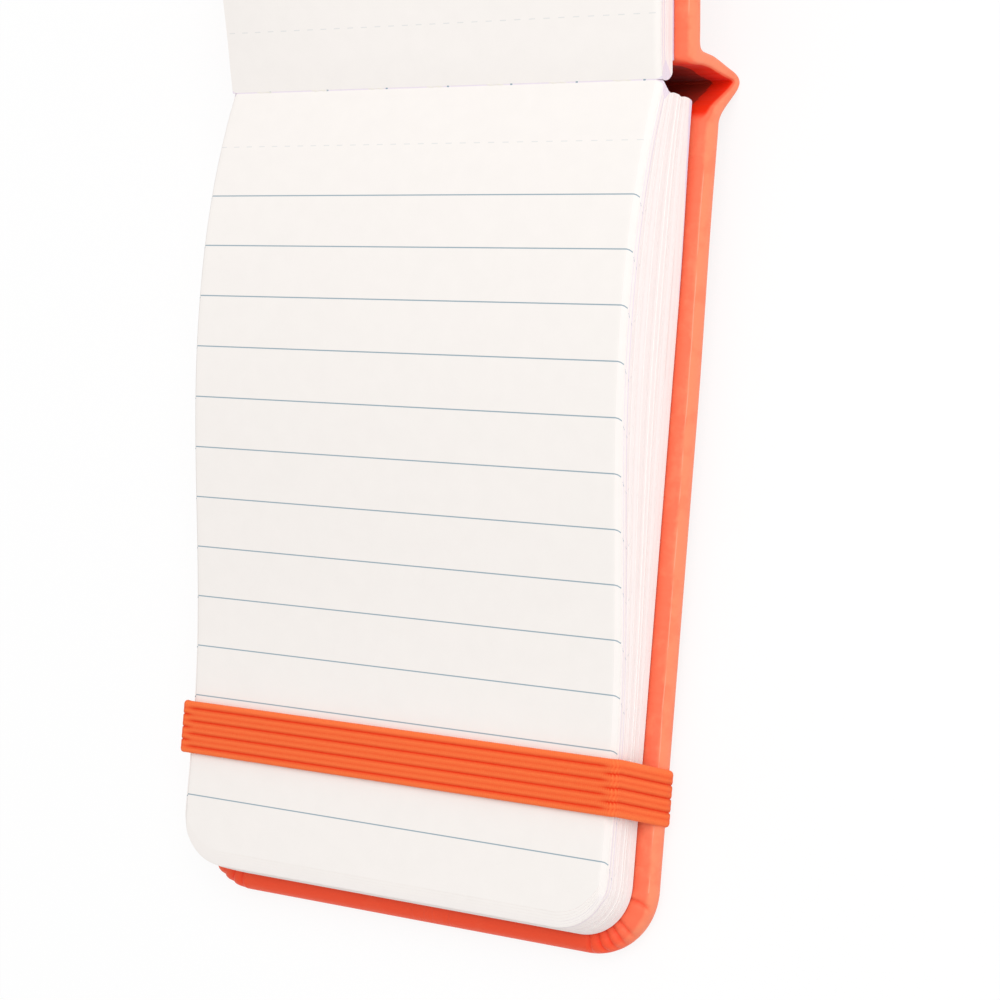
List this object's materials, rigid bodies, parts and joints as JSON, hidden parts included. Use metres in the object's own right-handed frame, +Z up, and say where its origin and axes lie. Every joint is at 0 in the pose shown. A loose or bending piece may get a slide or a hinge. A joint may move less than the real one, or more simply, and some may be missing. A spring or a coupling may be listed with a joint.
{
  "type": "pocket journal",
  "caption": "Top-bound pocket journal, open on its back: padded covers, V-folded soft spine, sewn ruled leaves and an elastic band round the lower half.",
  "frame": {"origin": "on the table, under the middle of the open journal's box", "axes": "+X across the page, +Y from the page's free end towards the turned half, +Z up from the table"},
  "size_m": [0.0984, 0.2888, 0.0489],
  "materials": {
    "leatherette": "padded, fine grain, satin",
    "grey_board": "matte",
    "ruled_paper": "matte, ruled in pale blue",
    "endpaper": "matte",
    "linen_thread": "matte",
    "lining": "matte",
    "braided_elastic": "ribbed braid"
  },
  "bodies": {
    "back_half": {"back_cover_board": "grey_board", "back_cover_wrap": "leatherette", "back_endpaper": "endpaper", "lower_leaves": "ruled_paper", "sewing_thread": "linen_thread", "spine_lining": "lining", "spine_wrap": "leatherette", "elastic_band": "braided_elastic"},
    "front_half": {"front_cover_board": "grey_board", "front_cover_wrap": "leatherette", "front_endpaper": "endpaper", "turned_leaves": "ruled_paper"}
  },
  "joints": [
    {"name": "front_cover_hinge", "type": "hinge", "parent": "back_half", "child": "front_half", "pos_m": [0, 0.00047, 0.02177], "axis": [1, 0, 0], "range_deg": [-30, 130], "deforming": ["spine_wrap", "spine_lining"]}
  ]
}
